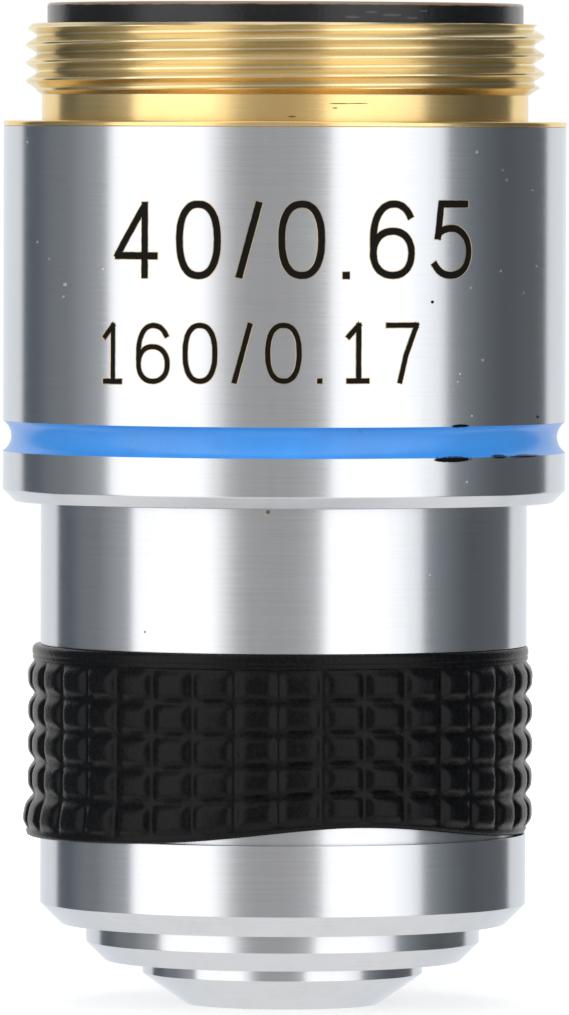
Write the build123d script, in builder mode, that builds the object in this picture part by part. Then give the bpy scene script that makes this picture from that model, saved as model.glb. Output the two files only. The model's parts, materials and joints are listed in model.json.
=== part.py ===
"""Microscope objective of the 40x achromat kind, with a spring-loaded front.

Millimetres. The origin is the centre of the shoulder seat, which meets the nosepiece.
+Z runs along the optical axis towards the mounting thread, so the nose points down.
"""

import os
from math import sqrt

from build123d import *

os.makedirs("parts", exist_ok=True)

# Mounting thread, neck and shoulder
thread_major_d = 20.24
thread_length = 2.56
thread_start = 0.25
thread_end = 0.2
neck_step = 0.62
neck_height = 1.23
neck_wall = 1.5
relief_gap = 0.05
relief_depth = 0.06
seat_width = 0.65
seat_edge = 0.18
flange_thickness = 0.19
spigot_length = 2.6

# Black ring at the back
stop_ring_step = 0.2
stop_ring_height = 0.81
stop_ring_seat = 0.5
stop_ring_thread = 1.2
stop_ring_wall = 1.1
stop_ring_bevel = 0.45
stop_ring_edge = 0.08

# Outer barrel and its colour groove
barrel_length = 14.85
barrel_wall = 1.05
barrel_foot = 0.47
guide_length = 4.85
groove_chord = 1.33
groove_depth = 0.33
groove_height = 2.55
enamel_thickness = 0.08

# Clearances
running_gap = 0.05
fit_gap = 0.02
cement_gap = 0.01

# Sliding front: sleeve, stop flange and key pin
travel = 2.5
stop_step = 0.40
stop_flange_height = 2.0
sleeve_rim_wall = 1.0
sleeve_wall = 1.78
sleeve_bevel = 0.8
pin_d = 1.0
pin_length = 1.8
pin_reach = 0.45

# Grip
grip_lift = 3.55
grip_height = 7.35
recess_depth = 0.35
bump_stand = 0.40
bump_depth = 0.28
bump_groove_width = 0.5
band_stand = 0.20
band_height = 0.6
band_edge = 0.15
columns = 36
rows = 5
row_pitch = 1.42

# Nose, from the tip up
nose_length = 19.65
tip_cone_height = 1.2
tip_cone_width = 1.68
front_cell_step = 2.22
front_cell_rim = 0.5
front_cell_thread_step = 0.28
tube_step = 1.45
tube_bevel = 0.74

# Lens tube and the slotted rings
tube_wall = 1.5
tube_ledge = 1.8
tube_head = 1.5
tube_margin = 1.1
ring_slot_width = 1.2
ring_slot_depth = 0.5
tube_lock_height = 1.1
tube_lock_width = 1.55
lens_lock_height = 1.0
lens_lock_width = 1.6

# Front lens and its cell
front_lens_r = 1.5
front_lens_centre = 0.6
front_lens_inset = 0.35
front_lens_bore = 0.9
front_lip = 0.12
front_lip_height = 0.1
front_dish_d = 3.8
front_cell_wall = 1.0
front_cell_gap = 0.3

# Spacers and lens cells above the front lens
front_spacer_height = 2.4
front_spacer_wall = 1.6
rear_spacer_height = 3.2
rear_spacer_wall = 1.2
cell_margin = 0.2
cell_lip = 0.5
cell_lip_height = 0.4
burnish_height = 0.2
cell_mouth = 0.6

# Cemented doublets: a flint towards the tip and a crown behind it
middle_cell_wall = 2.18
middle_flint_centre = 0.9
middle_cement_r = 8.5
middle_crown_edge = 0.5
middle_back_r = 7.3
rear_cell_wall = 1.58
rear_flint_centre = 1.0
rear_cement_r = 11.0
rear_crown_edge = 0.6
rear_back_r = 10.0

# Aperture disc and spring
aperture_d = 5.4
aperture_thickness = 0.3
wire_d = 0.8
wire_sides = 8
spring_turns = 3.0

# Radii, worked inwards from the thread
thread_r = thread_major_d / 2
neck_r = thread_r - neck_step
mount_bore_r = neck_r - neck_wall
stop_ring_r = neck_r - stop_ring_step
counterbore_r = mount_bore_r + stop_ring_seat
stop_ring_bore_r = counterbore_r - stop_ring_wall
relief_r = thread_r + relief_gap
barrel_r = relief_r + seat_width + seat_edge
upper_bore_r = barrel_r - barrel_wall
guide_bore_r = upper_bore_r - stop_step
spigot_r = upper_bore_r - fit_gap
stop_flange_r = upper_bore_r - running_gap
sleeve_r = guide_bore_r - running_gap
sleeve_bore_r = sleeve_r - sleeve_rim_wall
recess_r = sleeve_r - recess_depth
bump_r = sleeve_r + bump_stand
band_r = sleeve_r + band_stand
tube_seat_r = sleeve_r - sleeve_wall
tube_r = tube_seat_r - fit_gap
tube_head_r = sleeve_bore_r - fit_gap
tube_bore_r = tube_r - tube_wall
cell_r = tube_bore_r - fit_gap
middle_lens_r = cell_r - middle_cell_wall
rear_lens_r = cell_r - rear_cell_wall
front_cell_r = tube_r - front_cell_step
tip_r = front_cell_r - tip_cone_width
front_thread_r = front_cell_r - front_cell_thread_step
pin_tip_r = upper_bore_r + pin_reach
keyway_r = pin_tip_r + running_gap
spring_r = (upper_bore_r + sleeve_bore_r) / 2


def sag(surface_r, at_r):
    """Depth of a spherical surface between its vertex and the radius at_r."""
    return surface_r - sqrt(surface_r**2 - at_r**2)


# Each lens cell holds a doublet: flint, cement, crown and the crown's rounded back
middle_back_sag = sag(middle_back_r, middle_lens_r)
rear_back_sag = sag(rear_back_r, rear_lens_r)
middle_edge_height = (
    cell_lip_height
    + middle_flint_centre
    + cement_gap
    + sag(middle_cement_r, middle_lens_r)
    + middle_crown_edge
)
rear_edge_height = (
    cell_lip_height
    + rear_flint_centre
    + cement_gap
    + sag(rear_cement_r, rear_lens_r)
    + rear_crown_edge
)
middle_cell_height = middle_edge_height + middle_back_sag + cell_margin
rear_cell_height = rear_edge_height + rear_back_sag + cell_margin

# Heights, worked down from the seat and up from the tip
thread_top_z = neck_height + thread_length
stop_ring_top_z = thread_top_z + stop_ring_height
spigot_z = -spigot_length
barrel_z = -barrel_length
groove_z = barrel_z + groove_height
stop_z = barrel_z + guide_length
flange_top_z = stop_z + stop_flange_height
pin_z = stop_z + stop_flange_height / 2
tip_z = barrel_z - nose_length
front_rim_z = tip_z + tip_cone_height
tube_z = front_rim_z + front_cell_rim
sleeve_z = tube_z + tube_step
grip_z = sleeve_z + grip_lift
grip_top_z = grip_z + grip_height
stack_z = tube_z + tube_ledge
middle_cell_z = stack_z + front_spacer_height
rear_spacer_z = middle_cell_z + middle_cell_height
rear_cell_z = rear_spacer_z + rear_spacer_height
aperture_z = rear_cell_z + rear_cell_height
lens_lock_z = aperture_z + aperture_thickness
tube_top_z = lens_lock_z + lens_lock_height + tube_margin
tube_head_z = tube_top_z - tube_head


# Thread mount: thread, neck and seat in one turned piece, with a spigot into the barrel
with BuildPart() as thread_mount:
    with BuildSketch(Plane.XZ):
        with BuildLine():
            Polyline(
                (mount_bore_r, spigot_z),
                (spigot_r, spigot_z),
                (spigot_r, -flange_thickness),
                (barrel_r, -flange_thickness),
                (barrel_r, 0),
                (relief_r, 0),
                (relief_r, -relief_depth),
                (neck_r, -relief_depth),
                (neck_r, neck_height - thread_end),
                (thread_r, neck_height + thread_end),
                (thread_r, thread_top_z - thread_start),
                (thread_r - thread_start, thread_top_z),
                (counterbore_r, thread_top_z),
                (counterbore_r, thread_top_z - stop_ring_thread),
                (mount_bore_r, thread_top_z - stop_ring_thread),
                close=True,
            )
        make_face()
    revolve(axis=Axis.Z)
    seat_rim = thread_mount.edges().filter_by(GeomType.CIRCLE).filter_by_position(Axis.Z, 0, 0)
    chamfer(seat_rim.sort_by(SortBy.RADIUS)[-1], seat_edge)
thread_mount.part.label = "thread_mount"

# Black ring screwed into the back of the mount, with a bevelled opening
with BuildPart() as rear_stop_ring:
    with BuildSketch(Plane.XZ):
        with BuildLine():
            Polyline(
                (stop_ring_bore_r, thread_top_z - stop_ring_thread),
                (counterbore_r - fit_gap, thread_top_z - stop_ring_thread),
                (counterbore_r - fit_gap, thread_top_z),
                (stop_ring_r, thread_top_z),
                (stop_ring_r, stop_ring_top_z - stop_ring_edge),
                (stop_ring_r - stop_ring_edge, stop_ring_top_z),
                (stop_ring_bore_r + stop_ring_bevel, stop_ring_top_z),
                (stop_ring_bore_r, stop_ring_top_z - stop_ring_bevel),
                close=True,
            )
        make_face()
    revolve(axis=Axis.Z)
rear_stop_ring.part.label = "rear_stop_ring"

# Outer barrel: guide bore below, wider bore above the stop, colour groove and keyway.
# The key pin rests at the keyway's foot and meets its upper end after the full travel.
groove_r = (groove_chord**2 / 4 + groove_depth**2) / (2 * groove_depth)
groove_centre_r = barrel_r - groove_depth + groove_r
with BuildPart() as outer_barrel:
    with BuildSketch(Plane.XZ):
        with BuildLine():
            Polyline(
                (guide_bore_r, barrel_z),
                (barrel_r - barrel_foot, barrel_z),
                (barrel_r, barrel_z + barrel_foot),
                (barrel_r, -flange_thickness),
                (upper_bore_r, -flange_thickness),
                (upper_bore_r, stop_z),
                (guide_bore_r, stop_z),
                close=True,
            )
        make_face()
        with Locations((groove_centre_r, groove_z)):
            Circle(groove_r + enamel_thickness, mode=Mode.SUBTRACT)
    revolve(axis=Axis.Z)
    with BuildSketch(Plane.XY.offset(stop_z)):
        with Locations((0, guide_bore_r)):
            Rectangle(
                pin_d + 2 * running_gap,
                keyway_r - guide_bore_r,
                align=(Align.CENTER, Align.MIN),
            )
    extrude(amount=pin_z + travel + pin_d / 2 + running_gap - stop_z, mode=Mode.SUBTRACT)
outer_barrel.part.label = "outer_barrel"

# Enamel lying in the groove
with BuildPart() as colour_band:
    with BuildSketch(Plane.XZ):
        with Locations((groove_centre_r, groove_z)):
            Circle(groove_r + enamel_thickness)
            Circle(groove_r, mode=Mode.SUBTRACT)
        with Locations((barrel_r, groove_z)):
            Rectangle(
                groove_centre_r,
                2 * groove_chord,
                align=(Align.MAX, Align.CENTER),
                mode=Mode.INTERSECT,
            )
    revolve(axis=Axis.Z)
colour_band.part.label = "colour_band"

# Spring with ground ends, between the stop flange and the mount's spigot.
# Its wire is round in the object, and an octagon here to keep the facets few.
spring_height = spigot_z - flange_top_z
with BuildPart() as nose_spring:
    with BuildLine() as coil:
        Helix(spring_height / spring_turns, spring_height, spring_r, center=(0, 0, flange_top_z))
    with BuildSketch(Plane(origin=coil.line @ 0, z_dir=coil.line % 0)):
        RegularPolygon(wire_d / 2, wire_sides)
    sweep(path=coil.line, is_frenet=True)
    split(bisect_by=Plane.XY.offset(flange_top_z), keep=Keep.TOP)
    split(bisect_by=Plane.XY.offset(spigot_z), keep=Keep.BOTTOM)
nose_spring.part.label = "nose_spring"

# Nose sleeve: stop flange above, grip recess and bevelled end below
with BuildPart() as nose_sleeve:
    with BuildSketch(Plane.XZ):
        with BuildLine():
            Polyline(
                (tube_seat_r, sleeve_z),
                (sleeve_r - sleeve_bevel, sleeve_z),
                (sleeve_r, sleeve_z + sleeve_bevel),
                (sleeve_r, grip_z),
                (recess_r, grip_z),
                (recess_r, grip_top_z),
                (sleeve_r, grip_top_z),
                (sleeve_r, stop_z),
                (stop_flange_r, stop_z),
                (stop_flange_r, flange_top_z),
                (sleeve_bore_r, flange_top_z),
                (sleeve_bore_r, tube_head_z),
                (tube_seat_r, tube_head_z),
                close=True,
            )
        make_face()
    revolve(axis=Axis.Z)
    with BuildSketch(Plane.XZ):
        with Locations((0, pin_z)):
            Circle(pin_d / 2 + fit_gap)
    extrude(amount=-(stop_flange_r + pin_d), mode=Mode.SUBTRACT)
nose_sleeve.part.label = "nose_sleeve"

# Key pin, pressed through the stop flange into the barrel's keyway
with BuildPart() as guide_pin:
    with BuildSketch(Plane.XZ.offset(-pin_tip_r)):
        with Locations((0, pin_z)):
            Circle(pin_d / 2)
    extrude(amount=pin_length)
guide_pin.part.label = "guide_pin"

# Moulded grip: a plain band above rows and columns of bumps
row_top_z = grip_top_z - band_height
with BuildPart() as grip_ring:
    with BuildSketch(Plane.XZ) as grip_section:
        with BuildLine():
            Polyline(
                (recess_r + fit_gap, grip_z),
                (bump_r, grip_z),
                (bump_r, row_top_z),
                (band_r, row_top_z),
                (band_r, grip_top_z),
                (recess_r + fit_gap, grip_top_z),
                close=True,
            )
        make_face()
        chamfer(grip_section.vertices().group_by(Axis.Y)[-1].sort_by(Axis.X)[-1], band_edge)
        for row in range(1, rows):
            with Locations((bump_r, grip_z + row * row_pitch)):
                Polygon(
                    (bump_depth, bump_groove_width),
                    (-bump_depth, 0),
                    (bump_depth, -bump_groove_width),
                    align=None,
                    mode=Mode.SUBTRACT,
                )
    revolve(axis=Axis.Z)
    with BuildSketch(Plane.XY.offset(grip_z)):
        with PolarLocations(bump_r, columns):
            Polygon(
                (bump_depth, bump_groove_width),
                (-bump_depth, 0),
                (bump_depth, -bump_groove_width),
                align=None,
            )
    extrude(amount=row_top_z - grip_z, mode=Mode.SUBTRACT)
grip_ring.part.label = "grip_ring"

# Lens tube, which shows as the second step of the nose
with BuildPart() as lens_tube:
    with BuildSketch(Plane.XZ):
        with BuildLine():
            Polyline(
                (front_thread_r + fit_gap, tube_z),
                (tube_r - tube_bevel, tube_z),
                (tube_r, tube_z + tube_bevel),
                (tube_r, tube_head_z),
                (tube_head_r, tube_head_z),
                (tube_head_r, tube_top_z),
                (tube_bore_r, tube_top_z),
                (tube_bore_r, stack_z),
                (front_thread_r + fit_gap, stack_z),
                close=True,
            )
        make_face()
    revolve(axis=Axis.Z)
lens_tube.part.label = "lens_tube"


def plain_ring(outer_r, inner_r, base_z, height):
    """A turned ring."""
    with BuildPart() as ring:
        with BuildSketch(Plane.XY.offset(base_z)):
            Circle(outer_r)
            Circle(inner_r, mode=Mode.SUBTRACT)
        extrude(amount=height)
    return ring


def slotted_ring(outer_r, width, base_z, height):
    """A lock ring with two spanner slots across its upper face."""
    with BuildPart() as ring:
        with BuildSketch(Plane.XY.offset(base_z)):
            Circle(outer_r)
            Circle(outer_r - width, mode=Mode.SUBTRACT)
        extrude(amount=height)
        with BuildSketch(Plane.XY.offset(base_z + height)):
            Rectangle(2 * outer_r + width, ring_slot_width)
        extrude(amount=-ring_slot_depth, mode=Mode.SUBTRACT)
    return ring


def lens_cell(base_z, height, lens_r, edge_z, back_r):
    """A cell with a seat lip below its lens and a burnished lip over its back edge."""
    seat_z = base_z + cell_lip_height
    lip_r = lens_r - cell_lip
    burnish_z = edge_z + sag(back_r, lens_r) - sag(back_r, lip_r) + fit_gap
    with BuildPart() as cell:
        with BuildSketch(Plane.XZ):
            with BuildLine():
                Polyline(
                    (lip_r, base_z),
                    (cell_r, base_z),
                    (cell_r, base_z + height),
                    (lens_r + cell_mouth, base_z + height),
                    (lip_r, burnish_z + burnish_height),
                    (lip_r, burnish_z),
                    (lens_r + fit_gap, edge_z + fit_gap),
                    (lens_r + fit_gap, seat_z),
                    (lip_r, seat_z),
                    close=True,
                )
            make_face()
        revolve(axis=Axis.Z)
    return cell


def flint_lens(seat_z, lens_r, centre, cement_r):
    """A flint with a flat front and a hollow back."""
    with BuildPart() as lens:
        with BuildSketch(Plane.XY.offset(seat_z)):
            Circle(lens_r)
        extrude(amount=centre + lens_r)
        with Locations((0, 0, seat_z + centre + cement_r)):
            Sphere(cement_r, mode=Mode.SUBTRACT)
    return lens


def crown_lens(vertex_z, lens_r, edge, cement_r, back_r):
    """A crown, round on both sides, that sits in the flint's hollow."""
    back_vertex_z = vertex_z + sag(cement_r, lens_r) + edge + sag(back_r, lens_r)
    with BuildPart() as lens:
        with BuildSketch(Plane.XY.offset(vertex_z - edge)):
            Circle(lens_r)
        extrude(amount=back_vertex_z - vertex_z + 2 * edge)
        with Locations((0, 0, vertex_z + cement_r)):
            Sphere(cement_r, mode=Mode.INTERSECT)
        with Locations((0, 0, back_vertex_z - back_r)):
            Sphere(back_r, mode=Mode.INTERSECT)
    return lens


# Front cell: rim and cone outside, a seat for the front lens and a widening bore inside
lens_flat_z = tip_z + front_lens_inset
lens_flat_r = sqrt(front_lens_r**2 - front_lens_centre**2)
with BuildPart() as front_cell:
    with BuildSketch(Plane.XZ):
        with BuildLine():
            Polyline(
                (front_dish_d / 2, tip_z),
                (tip_r, tip_z),
                (front_cell_r, front_rim_z),
                (front_cell_r, tube_z),
                (front_thread_r, tube_z),
                (front_thread_r, stack_z - front_cell_gap),
                (front_thread_r - front_cell_wall, stack_z - front_cell_gap),
                (front_lens_r + fit_gap, lens_flat_z + front_lens_bore),
                (front_lens_r + fit_gap, lens_flat_z),
                (lens_flat_r - front_lip, lens_flat_z),
                (lens_flat_r - front_lip, lens_flat_z - front_lip_height),
                close=True,
            )
        make_face()
    revolve(axis=Axis.Z)
front_cell.part.label = "front_cell"

# Front lens: more than half a ball with a flat front
with BuildPart() as front_lens:
    with Locations((0, 0, lens_flat_z + front_lens_centre)):
        Sphere(front_lens_r)
    split(bisect_by=Plane.XY.offset(lens_flat_z), keep=Keep.TOP)
front_lens.part.label = "front_lens"

# Middle doublet in its cell, on a spacer
front_spacer = plain_ring(cell_r, cell_r - front_spacer_wall, stack_z, front_spacer_height)
front_spacer.part.label = "front_spacer"
middle_seat_z = middle_cell_z + cell_lip_height
middle_vertex_z = middle_seat_z + middle_flint_centre + cement_gap
middle_edge_z = middle_cell_z + middle_edge_height
middle_flint = flint_lens(middle_seat_z, middle_lens_r, middle_flint_centre, middle_cement_r)
middle_flint.part.label = "middle_flint"
middle_crown = crown_lens(
    middle_vertex_z, middle_lens_r, middle_crown_edge, middle_cement_r, middle_back_r
)
middle_crown.part.label = "middle_crown"
middle_cell = lens_cell(
    middle_cell_z, middle_cell_height, middle_lens_r, middle_edge_z, middle_back_r
)
middle_cell.part.label = "middle_cell"

# Rear doublet in its cell, on a spacer
rear_spacer = plain_ring(cell_r, cell_r - rear_spacer_wall, rear_spacer_z, rear_spacer_height)
rear_spacer.part.label = "rear_spacer"
rear_seat_z = rear_cell_z + cell_lip_height
rear_vertex_z = rear_seat_z + rear_flint_centre + cement_gap
rear_edge_z = rear_cell_z + rear_edge_height
rear_flint = flint_lens(rear_seat_z, rear_lens_r, rear_flint_centre, rear_cement_r)
rear_flint.part.label = "rear_flint"
rear_crown = crown_lens(rear_vertex_z, rear_lens_r, rear_crown_edge, rear_cement_r, rear_back_r)
rear_crown.part.label = "rear_crown"
rear_cell = lens_cell(rear_cell_z, rear_cell_height, rear_lens_r, rear_edge_z, rear_back_r)
rear_cell.part.label = "rear_cell"

# Aperture disc and the rings that clamp the lens stack and the tube
aperture_stop = plain_ring(cell_r, aperture_d / 2, aperture_z, aperture_thickness)
aperture_stop.part.label = "aperture_stop"
lens_lock_ring = slotted_ring(cell_r, lens_lock_width, lens_lock_z, lens_lock_height)
lens_lock_ring.part.label = "lens_lock_ring"
tube_lock_ring = slotted_ring(tube_head_r, tube_lock_width, tube_top_z, tube_lock_height)
tube_lock_ring.part.label = "tube_lock_ring"

export_step(thread_mount.part, "parts/thread_mount.step")
export_step(rear_stop_ring.part, "parts/rear_stop_ring.step")
export_step(outer_barrel.part, "parts/outer_barrel.step")
export_step(colour_band.part, "parts/colour_band.step")
export_step(nose_spring.part, "parts/nose_spring.step")
export_step(nose_sleeve.part, "parts/nose_sleeve.step")
export_step(guide_pin.part, "parts/guide_pin.step")
export_step(grip_ring.part, "parts/grip_ring.step")
export_step(lens_tube.part, "parts/lens_tube.step")
export_step(tube_lock_ring.part, "parts/tube_lock_ring.step")
export_step(front_cell.part, "parts/front_cell.step")
export_step(front_lens.part, "parts/front_lens.step")
export_step(front_spacer.part, "parts/front_spacer.step")
export_step(middle_cell.part, "parts/middle_cell.step")
export_step(middle_flint.part, "parts/middle_flint.step")
export_step(middle_crown.part, "parts/middle_crown.step")
export_step(rear_spacer.part, "parts/rear_spacer.step")
export_step(rear_cell.part, "parts/rear_cell.step")
export_step(rear_flint.part, "parts/rear_flint.step")
export_step(rear_crown.part, "parts/rear_crown.step")
export_step(aperture_stop.part, "parts/aperture_stop.step")
export_step(lens_lock_ring.part, "parts/lens_lock_ring.step")
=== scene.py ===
"""Looks of the microscope objective: turned and threaded meshes, finishes, studio and camera.

Sizes are in millimetres until a mesh is made, and every mesh is in metres in the shared frame.
Angles round the axis are 0 at the camera's side (-Y) and grow towards +X.
"""

import json
from math import atan2, ceil, copysign, cos, degrees, exp, hypot, pi, radians, sin, sqrt, tan

import bmesh
import bpy
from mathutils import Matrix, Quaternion, Vector, noise
from mathutils.geometry import delaunay_2d_cdt, intersect_point_quad_2d


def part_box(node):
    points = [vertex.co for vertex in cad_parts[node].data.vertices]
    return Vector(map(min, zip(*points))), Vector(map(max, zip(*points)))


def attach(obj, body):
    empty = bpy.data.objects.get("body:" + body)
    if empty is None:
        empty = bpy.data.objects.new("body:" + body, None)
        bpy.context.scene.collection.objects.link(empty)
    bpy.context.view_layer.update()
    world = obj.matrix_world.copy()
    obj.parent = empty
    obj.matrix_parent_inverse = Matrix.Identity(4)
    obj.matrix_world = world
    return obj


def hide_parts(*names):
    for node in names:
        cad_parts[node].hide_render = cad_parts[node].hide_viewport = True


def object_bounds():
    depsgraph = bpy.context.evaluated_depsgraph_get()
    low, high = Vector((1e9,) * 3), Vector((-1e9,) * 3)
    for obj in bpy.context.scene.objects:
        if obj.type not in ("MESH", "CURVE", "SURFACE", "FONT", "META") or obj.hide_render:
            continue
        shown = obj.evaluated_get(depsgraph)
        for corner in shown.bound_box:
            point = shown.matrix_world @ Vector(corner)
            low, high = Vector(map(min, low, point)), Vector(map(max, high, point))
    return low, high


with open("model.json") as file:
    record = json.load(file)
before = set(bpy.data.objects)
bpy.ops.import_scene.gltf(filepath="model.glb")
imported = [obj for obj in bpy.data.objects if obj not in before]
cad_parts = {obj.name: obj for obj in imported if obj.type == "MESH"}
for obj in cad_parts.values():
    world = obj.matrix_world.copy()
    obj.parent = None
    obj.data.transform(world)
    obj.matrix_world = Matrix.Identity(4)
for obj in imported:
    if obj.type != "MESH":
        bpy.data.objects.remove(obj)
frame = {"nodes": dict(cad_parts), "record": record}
cad_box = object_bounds()

MM = 0.001


def extent(node):
    """Outer radius, lowest and highest height of a node, in millimetres."""
    low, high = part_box(node)
    return high.x / MM, low.z / MM, high.z / MM


# Sizes taken from the frame
barrel_r, barrel_low, barrel_high = extent("outer_barrel")
ring_r, ring_low, ring_high = extent("rear_stop_ring")
flange_r, flange_low, flange_high = extent("nose_sleeve")
grip_r, grip_low, grip_high = extent("grip_ring")
head_r, tube_low, tube_high = extent("lens_tube")
cell_r, cell_low, cell_high = extent("front_cell")
lens_r, lens_low, lens_high = extent("front_lens")
mount_low, mount_high = extent("thread_mount")[1:]
band_low, band_high = extent("colour_band")[1:]
bore_cell_r = extent("middle_cell")[0]
mounts = {mount["name"]: mount for mount in frame["record"]["mounts"]}
thread_r = mounts["society_thread"]["dims"]["r_mm"]

# Sizes of the solids that their boxes don't tell. Screwed pieces have a little slip between them
slip = 0.02
neck_r = thread_r - 0.62
mount_bore_r = neck_r - 1.5
counterbore_r = mount_bore_r + 0.5
neck_high = 1.23
thread_runout = 0.2
thread_start = 0.25
seat_edge = 0.18
relief_r = thread_r + 0.05
relief_depth = 0.06
ring_bore_r = counterbore_r - 1.1
ring_thread_depth = 1.2
ring_chamfer = 0.45
barrel_bore_r = barrel_r - 1.05
barrel_chamfer = 0.03
spigot_r = barrel_bore_r - slip
guide_bore_r = barrel_bore_r - 0.4
stop_z = barrel_low + 4.85
foot_bevel = 0.47
groove_depth = 0.33
groove_z = (band_low + band_high) / 2
sleeve_r = guide_bore_r - 0.05
sleeve_bore_r = sleeve_r - 1.0
recess_r = sleeve_r - 0.35
sleeve_bevel = 0.8
tube_seat_r = sleeve_r - 1.78
tube_r = tube_seat_r - slip
tube_bevel = 0.74
tube_head_low = tube_high - 1.5
stack_z = tube_low + 1.8
front_thread_r = cell_r - 0.28
tip_r = cell_r - 1.68
tip_cone = 1.2
dish_r = 1.9
cell_wall = 1.0
lens_seat = 0.9
lip = 0.12
lip_depth = 0.1
lens_flat_r = sqrt(lens_r**2 - 0.6**2)

# The barrel's skin lies a little inside its solid, so that the numbers on it stay inside the box.
# The colour groove has the height that the photograph shows.
skin_r = barrel_r - 0.012
groove_chord = 1.2

# Society thread
thread_pitch = 25.4 / 36
thread_depth = 0.40
crest_width = 0.09
root_width = 0.10
crest_z_at_right = 2.60

# Points in a circle, for the thread, the pieces seen closest, other turned pieces and the lens
thread_segments = 320
fine_segments = 320
plain_segments = 256
glass_segments = 96

# Photograph in pixels, camera in millimetres and degrees
photo_width, photo_height = 569, 1015
camera_distance = 469.2
camera_height = -0.33
aim_height = -15.1
aim_side = 0.023
camera_roll = 0.19
sensor_mm = 36
lens_mm = 425.6


def on_circle(radius, angle, z):
    """The point at an angle round the axis."""
    return radius * sin(angle), -radius * cos(angle), z


def new_object(name, mesh, finishes, body, slot, *nodes):
    """Links a mesh, rides it on its body and lets it stand for the nodes it replaces."""
    piece = bpy.data.objects.new(name, mesh)
    bpy.context.scene.collection.objects.link(piece)
    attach(piece, body)
    if nodes:
        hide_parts(*nodes)
    for finish in finishes:
        mesh.materials.append(finish)


def finish_mesh(name, vertices, faces, sharp_angle=30):
    """A mesh in metres with outward normals, smooth apart from its real edges."""
    mesh = bpy.data.meshes.new(name)
    mesh.from_pydata([(x * MM, y * MM, z * MM) for x, y, z in vertices], [], faces)
    work = bmesh.new()
    work.from_mesh(mesh)
    bmesh.ops.remove_doubles(work, verts=work.verts, dist=1e-8)
    bmesh.ops.dissolve_degenerate(work, edges=work.edges, dist=1e-9)
    bmesh.ops.recalc_face_normals(work, faces=work.faces)
    work.to_mesh(mesh)
    work.free()
    mesh.shade_smooth()
    mesh.set_sharp_from_angle(angle=radians(sharp_angle))
    return mesh


# Turned pieces: the distance of support points from a round, and the degrees between its points
support = 0.02
arc_step = 15
longest_reach = 0.45


def rounded(corners, closed=True):
    """Profile points from (r, z, round) corners, with an arc and support points at each round."""
    points = []
    count = len(corners)
    for i, (r, z, radius) in enumerate(corners):
        here = Vector((r, z))
        if radius == 0 or (not closed and i in (0, count - 1)):
            points.append(here)
            continue
        before = Vector(corners[i - 1][:2]) - here
        after = Vector(corners[(i + 1) % count][:2]) - here
        opening = before.angle(after)
        reach = min(
            radius / tan(opening / 2), longest_reach * before.length, longest_reach * after.length
        )
        radius = reach * tan(opening / 2)
        inward = (before.normalized() + after.normalized()).normalized()
        centre = here + inward * (radius / sin(opening / 2))
        start = here + before.normalized() * reach
        end = here + after.normalized() * reach
        steps = max(3, ceil(degrees(pi - opening) / arc_step))
        if before.length > reach + 3 * support:
            points.append(start + before.normalized() * support)
        for step in range(steps + 1):
            along = (pi - opening) * step / steps
            spoke = (start - centre) * sin(pi - opening - along) + (end - centre) * sin(along)
            points.append(centre + spoke.normalized() * radius)
        if after.length > reach + 3 * support:
            points.append(end + after.normalized() * support)
    return points


def turned_mesh(name, points, closed=True, segments=plain_segments):
    """Revolves profile points round Z. A point on the axis becomes one vertex."""
    vertices, rings = [], []
    for r, z in points:
        if r < 1e-6:
            rings.append([len(vertices)] * segments)
            vertices.append((0, 0, z))
            continue
        rings.append(range(len(vertices), len(vertices) + segments))
        for k in range(segments):
            vertices.append(on_circle(r, 2 * pi * k / segments, z))
    faces = []
    pairs = list(zip(rings, rings[1:])) + ([(rings[-1], rings[0])] if closed else [])
    for low, high in pairs:
        for k in range(segments):
            n = (k + 1) % segments
            corner = [low[k], low[n], high[n], high[k]]
            faces.append(list(dict.fromkeys(corner)))
    return finish_mesh(name, vertices, faces)


def make_camera():
    """The camera at the photograph's distance, height and tilt."""
    data = bpy.data.cameras.new("camera")
    data.lens = lens_mm
    data.sensor_width = sensor_mm
    data.clip_start = 0.05
    data.clip_end = 20
    camera = bpy.data.objects.new("camera", data)
    bpy.context.scene.collection.objects.link(camera)
    camera.location = Vector((aim_side, -camera_distance, camera_height)) * MM
    aim = Vector((aim_side, 0, aim_height)) * MM
    look = (aim - camera.location).to_track_quat("-Z", "Y")
    camera.rotation_mode = "QUATERNION"
    camera.rotation_quaternion = look @ Quaternion((0, 0, 1), radians(camera_roll))
    bpy.context.scene.camera = camera
    bpy.context.view_layer.update()
    return camera


camera = make_camera()


def seen_on(x, y, radius):
    """Angle round the axis and height of the cylinder's point at a pixel of the photograph."""
    scale = sensor_mm / lens_mm / photo_height
    local = Vector(((x - photo_width / 2) * scale, (photo_height / 2 - y) * scale, -1))
    ray = camera.matrix_world.to_3x3() @ local
    start = camera.location / MM
    a = ray.x**2 + ray.y**2
    b = start.x * ray.x + start.y * ray.y
    c = start.x**2 + start.y**2 - radius**2
    reach = (-b - sqrt(max(0, b * b - a * c))) / a
    point = start + ray * reach
    return atan2(point.x, -point.y), point.z


# Reach at which a blot ends and at which it is full, as a share of its size, squared
blot_edge = (1.1, 0.7)


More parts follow.
